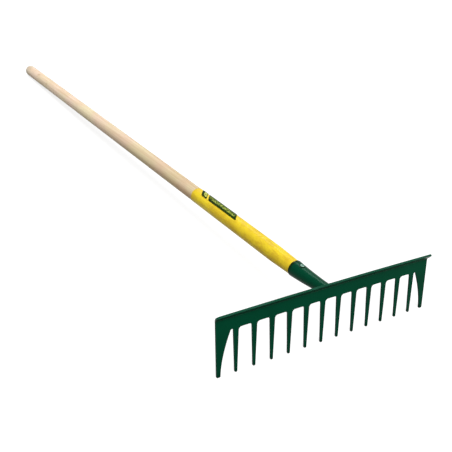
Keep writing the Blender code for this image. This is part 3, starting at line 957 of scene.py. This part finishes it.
label = dict(
    inset=0.018,
    length=0.092,
    width=0.0158,
    slant=0.020,
    filmThickness=0.00025,
    corner=0.0015,
    cornerSteps=6,
    strips=20,
    emblemLength=0.019,
    space=0.005,
    lift=0.0003,
    panelBox=(0.07, 0.93, 0.012, 0.988),      # inside the border: across from, to, along from, to
    panelField=(0.26, 0.74, 0.045, 0.955),
    emblemBox=(0.07, 0.93, 0.06, 0.94),
    emblemField=(0.17, 0.83, 0.12, 0.60),
    softAcross=0.012,
    softAlong=0.003,
    ink=(0.0100, 0.0330, 0.0025),
    border=(0.055, 0.065, 0.010),
    plain=(0.135, 0.190, 0.020),
    plainRange=(0.55, 0.85, 0.30),
    light=(0.740, 0.760, 0.150),
    faded=(0.420, 0.480, 0.090),              # where the print has rubbed thin
    rubbedScale=330.0,
    rubbedStretch=(1.0, 0.55, 1.0),
    rubbedShare=0.95,
    fadedRange=(0.50, 0.60),
    inkRange=(0.46, 0.37),
    wornScale=140.0,
    grainScale=900.0,
    grainDepth=0.00008,
    shine=0.02,
    smooth=0.34,
    dull=0.50,
)


def makeInk(name, look, box, field, fieldBox):
    finish, tree, shader = newFinish(name)
    plain = spaceOf(tree, (-1500, -200), handleFrame)
    rubbedSpace = spaceOf(tree, (-1500, -640), handleFrame, look["rubbedStretch"])
    flat = addNode(tree, "ShaderNodeUVMap", (-1500, 200), uv_map="flatLabel")
    axes = splitAxes(tree, (-1300, 200), flat.outputs["UV"])
    inkGrain = addNoise(tree, (-1300, -200), plain, look["grainScale"], 3.0, 0.6)
    worn = addNoise(tree, (-1300, -420), plain, look["wornScale"], 4.0, 0.6, 0.5)
    rubbed = addNoise(tree, (-1300, -640), rubbedSpace, look["rubbedScale"], 1.0, 0.5, 0.8)

    def inside(spot, low, high, value, soft):
        near = addRange(tree, (spot[0], spot[1]), value, low - soft, low + soft, 0.0, 1.0)
        far = addRange(tree, (spot[0], spot[1] - 160), value, high - soft, high + soft, 1.0, 0.0)
        return addMath(tree, (spot[0] + 180, spot[1]), "MULTIPLY", near, far)

    def boxShare(spot, sides):
        across = inside(spot, *sides[:2], axes["X"], look["softAcross"])
        along = inside((spot[0], spot[1] - 320), *sides[2:], axes["Y"], look["softAlong"])
        return addMath(tree, (spot[0] + 360, spot[1]), "MULTIPLY", across, along)

    colour = addMix(tree, (-500, 300), boxShare((-1050, 600), box), look["border"], look["ink"])
    wear = addRange(tree, (-700, -300), worn, 0.30, 0.62, 0.62, 1.0)
    fieldShare = addMath(tree, (-500, 0), "MULTIPLY", boxShare((-1050, -60), fieldBox), wear)
    colour = addMix(tree, (-300, 300), fieldShare, colour, field)
    for drop, over, reach in ((-640, "faded", "fadedRange"), (-800, "ink", "inkRange")):
        share = addRange(tree, (-700, drop), rubbed, *look[reach], 0.0, look["rubbedShare"])
        share = addMath(tree, (-500, drop), "MULTIPLY", fieldShare, share)
        colour = addMix(tree, (-200, drop + 740), share, colour, look[over])
    colour = addLayer(tree, (-100, 300), colour, look["plain"], inkGrain, *look["plainRange"])
    roughness = addRange(tree, (-300, 0), worn, 0.3, 0.7, look["smooth"], look["dull"])
    normal = addBump(tree, (-100, -200), inkGrain, 0.08, look["grainDepth"])
    dressShader(tree, shader, colour, roughness, normal)
    shader.inputs["Specular IOR Level"].default_value = look["shine"]
    return finish


def makePatch(name, start, end, finish, node):
    half = label["width"] / 2
    lean = label["slant"] / 2
    corners = [(-half, start - lean, label["corner"]), (half, start + lean, label["corner"]),
               (half, end + lean, label["corner"]), (-half, end - lean, label["corner"])]
    blank = cutBlank(roundOff(corners, label["cornerSteps"]))
    strips = [half * (2 * step / label["strips"] - 1.0) for step in range(1, label["strips"])]
    scoreLines(blank, strips, Vector((1, 0, 0)))
    flat = blank.loops.layers.uv.new("flatLabel")
    for face in blank.faces:
        for loop in face.loops:
            x, along = loop.vert.co.x, loop.vert.co.y
            loop[flat].uv = ((x + half) / label["width"], (along - lean * x / half - start) / (end - start))
    for vertex in blank.verts:      # wrapped round the sleeve
        along = vertex.co.y
        radius = filmRadius(along) + label["lift"]
        angle = vertex.co.x / radius
        vertex.co = (radius * math.sin(angle), along, radius * math.cos(angle))
    faceTowards(blank, Vector((0, 0, 1)))
    piece = setDown(name, meshOf(name, blank), handleFrame, (finish,), "label_green", node)
    thicken(piece, label["filmThickness"], 1.0)


emblemEnd = filmEnd - label["inset"]
emblemStart = emblemEnd - label["emblemLength"]
panelEnd = emblemStart - label["space"]
panelStart = panelEnd - label["length"]
panelInk = makeInk("labelInk", label, label["panelBox"], label["plain"], label["panelField"])
emblemInk = makeInk("emblemInk", label, label["emblemBox"], label["light"], label["emblemField"])
makePatch("labelPanel", panelStart, panelEnd, panelInk, "label_panel")
makePatch("labelEmblem", emblemStart, emblemEnd, emblemInk, "label_emblem")
print("plain label laid on")


def makeZinc(look):
    finish, tree, shader = newFinish("zincPlate")
    plain = spaceOf(tree, (-1100, 0), toolFrame)
    spun = addNoise(tree, (-850, -200), plain, look["spunScale"], 2.0, 0.6)
    cloud = addNoise(tree, (-850, 200), plain, look["cloudScale"], 3.0, 0.6, 0.5)
    colour = addLayer(tree, (-400, 200), look["plate"], look["tint"], cloud, *look["tintRange"])
    colour = addLayer(tree, (-200, 200), colour, look["shadeAndGrime"], cloud, *look["grimeRange"])
    roughness = addRange(tree, (-400, -60), spun, 0.3, 0.7, look["smooth"], look["dull"])
    dressShader(tree, shader, colour, roughness, addBump(tree, (-200, -260), spun, 0.12, 0.00008))
    shader.inputs["Metallic"].default_value = 1.0
    return finish


def recessCutter(angle):
    top = screwSize["lift"] + screwSize["headHeight"]
    wing = bmesh.new()
    bmesh.ops.create_cube(wing, size=1.0)
    for vertex in wing.verts:
        low = vertex.co.z < 0.0
        narrow, thin = screwSize["recessTaper"] if low else (1.0, 1.0)
        vertex.co.x *= screwSize["recessLength"] * narrow
        vertex.co.y *= screwSize["recessWidth"] * thin
        vertex.co.z = top + (-screwSize["recessDepth"] if low else screwSize["recessClearance"])
    bmesh.ops.rotate(wing, verts=wing.verts[:], cent=(0, 0, 0), matrix=Matrix.Rotation(angle, 3, "Z"))
    mesh = bpy.data.meshes.new("recess")
    wing.to_mesh(mesh)
    wing.free()
    cutter = bpy.data.objects.new("recess", mesh)
    rakeParts.objects.link(cutter)
    return cutter


def wholeScrew():
    lift = screwSize["lift"]
    rimTop = lift + screwSize["rim"]
    crown = screwSize["headHeight"] - screwSize["rim"]
    rows = [
        (screwSize["shankRadius"] * screwSize["pointRadius"], -screwSize["length"] + screwSize["pointTip"]),
        (screwSize["shankRadius"], screwSize["point"] - screwSize["length"]),
        (screwSize["shankRadius"], lift),
        (screwSize["headRadius"] - screwSize["edge"], lift),
        (screwSize["headRadius"], lift + screwSize["edge"]),
        (screwSize["headRadius"], rimTop),
    ]
    for step in range(1, screwSize["crownSteps"]):
        angle = quarter(step, screwSize["crownSteps"])
        rows.append((screwSize["headRadius"] * math.cos(angle), rimTop + crown * math.sin(angle)))
    turns = around(screwSize["sides"])
    rings = [[Vector((radius * math.cos(angle), radius * math.sin(angle), height)) for angle in turns]
             for radius, height in rows]
    tips = (Vector((0, 0, -screwSize["length"])), Vector((0, 0, lift + screwSize["headHeight"])))
    whole = bpy.data.objects.new("wholeScrew", skin("screwHead", rings, tips=tips))
    rakeParts.objects.link(whole)
    return whole


def makeScrew():
    whole = wholeScrew()
    cutters = [recessCutter(screwSize["recessTurn"] + quarter(step, 1)) for step in range(2)]
    for cutter in cutters:
        cut = whole.modifiers.new("recess", "BOOLEAN")
        cut.operation = "DIFFERENCE"
        cut.solver = "EXACT"
        cut.object = cutter
    graph = bpy.context.evaluated_depsgraph_get()
    cutMesh = bpy.data.meshes.new_from_object(whole.evaluated_get(graph))
    for spare in (whole, *cutters):
        bpy.data.objects.remove(spare, do_unlink=True)
    cutMesh.set_sharp_from_angle(angle=screwSize["creaseAngle"])
    setDown("crossScrew", cutMesh, screwPlace(), (makeZinc(screwSize),), "zinc", "screw")


makeScrew()
print("screw driven in")


studio = dict(
    floorSize=30.0,
    floorDrop=0.0002,
    floorWhite=0.28,
    floorLift=0.81,        # added for the camera, so that the open floor is white
    bounce=0.25,           # what the floor gives back to the rake
    sky=0.43,
    overhead=2.94,
    overheadSpread=math.radians(28.0),
    overheadFrom=(-0.20, -0.72, 1.0),
    behind=0.78,           # draws the bright line along the handle and the socket
    behindSpread=math.radians(20.0),
    behindFrom=(0.27, 0.70, 0.66),
    cameraSpot=(-0.546607, -1.273713, 0.564947),
    cameraTurn=(62.22970, -4.08288, -31.09212),      # degrees
    lens=51.77,
    nearest=0.05,
    farthest=60.0,
)


def seenDirectly(tree, spot):
    path = addNode(tree, "ShaderNodeLightPath", spot)
    seen = path.outputs["Is Camera Ray"]
    for step, ray in enumerate(("Is Glossy Ray", "Is Transmission Ray")):
        seen = addMath(tree, (spot[0] + 200 + 200 * step, spot[1]), "MAXIMUM", seen, path.outputs[ray])
    return seen


def makeFloor():
    finish = bpy.data.materials.new("paleFloor")
    finish.use_nodes = True
    tree = finish.node_tree
    tree.nodes.remove(tree.nodes["Principled BSDF"])
    out = tree.nodes["Material Output"]
    out.location = (700, 0)
    seen = seenDirectly(tree, (-500, 300))
    dim = addNode(tree, "ShaderNodeBsdfDiffuse", (0, -50), {"Color": (*[studio["bounce"]] * 3, 1.0)})
    pale = addNode(tree, "ShaderNodeBsdfDiffuse", (0, -200), {"Color": (*[studio["floorWhite"]] * 3, 1.0)})
    glow = addNode(tree, "ShaderNodeEmission", (0, -350), {"Strength": studio["floorLift"]})
    both = addNode(tree, "ShaderNodeAddShader", (220, -250))
    mix = addNode(tree, "ShaderNodeMixShader", (450, 0))
    wire(tree, pale.outputs[0], both, 0)
    wire(tree, glow.outputs[0], both, 1)
    wire(tree, seen, mix, 0)
    wire(tree, dim.outputs[0], mix, 1)
    wire(tree, both.outputs[0], mix, 2)
    wire(tree, mix.outputs[0], out, "Surface")
    half = studio["floorSize"] / 2
    corners = [(-half, -half, 0), (half, -half, 0), (half, half, 0), (-half, half, 0)]
    mesh = bpy.data.meshes.new("floor")
    mesh.from_pydata(corners, [], [(0, 1, 2, 3)])
    mesh.materials.append(finish)
    floor = bpy.data.objects.new("floor", mesh)
    floor.location.z = -studio["floorDrop"]
    bpy.context.scene.collection.objects.link(floor)


def makeSky():
    world = bpy.data.worlds.new("paleRoom")
    bpy.context.scene.world = world
    world.use_nodes = True
    tree = world.node_tree
    tree.nodes.clear()
    seen = seenDirectly(tree, (-700, 200))
    strength = addRange(tree, (-100, 200), seen, 0.0, 1.0, studio["sky"], 1.0)
    ground = addNode(tree, "ShaderNodeBackground", (100, 100), {"Color": (1.0, 1.0, 1.0, 1.0)})
    out = addNode(tree, "ShaderNodeOutputWorld", (320, 100))
    wire(tree, strength, ground, "Strength")
    wire(tree, ground.outputs[0], out, "Surface")


def makeLight(name):
    lamp = bpy.data.lights.new(name + "Light", "SUN")
    lamp.energy = studio[name]
    lamp.angle = studio[name + "Spread"]
    holder = bpy.data.objects.new(name + "Light", lamp)
    holder.rotation_mode = "QUATERNION"
    holder.rotation_quaternion = Vector(studio[name + "From"]).to_track_quat("Z", "Y")
    bpy.context.scene.collection.objects.link(holder)


def makeCamera():
    camera = bpy.data.objects.new("camera", bpy.data.cameras.new("camera"))
    bpy.context.scene.collection.objects.link(camera)
    camera.location = studio["cameraSpot"]
    camera.rotation_euler = [math.radians(angle) for angle in studio["cameraTurn"]]
    camera.data.lens = studio["lens"]
    camera.data.clip_start = studio["nearest"]
    camera.data.clip_end = studio["farthest"]
    bpy.context.scene.camera = camera


makeFloor()
makeSky()
makeLight("overhead")
makeLight("behind")
makeCamera()
bpy.context.scene.view_settings.view_transform = "Standard"
print("studio ready")

bpy.context.view_layer.update()
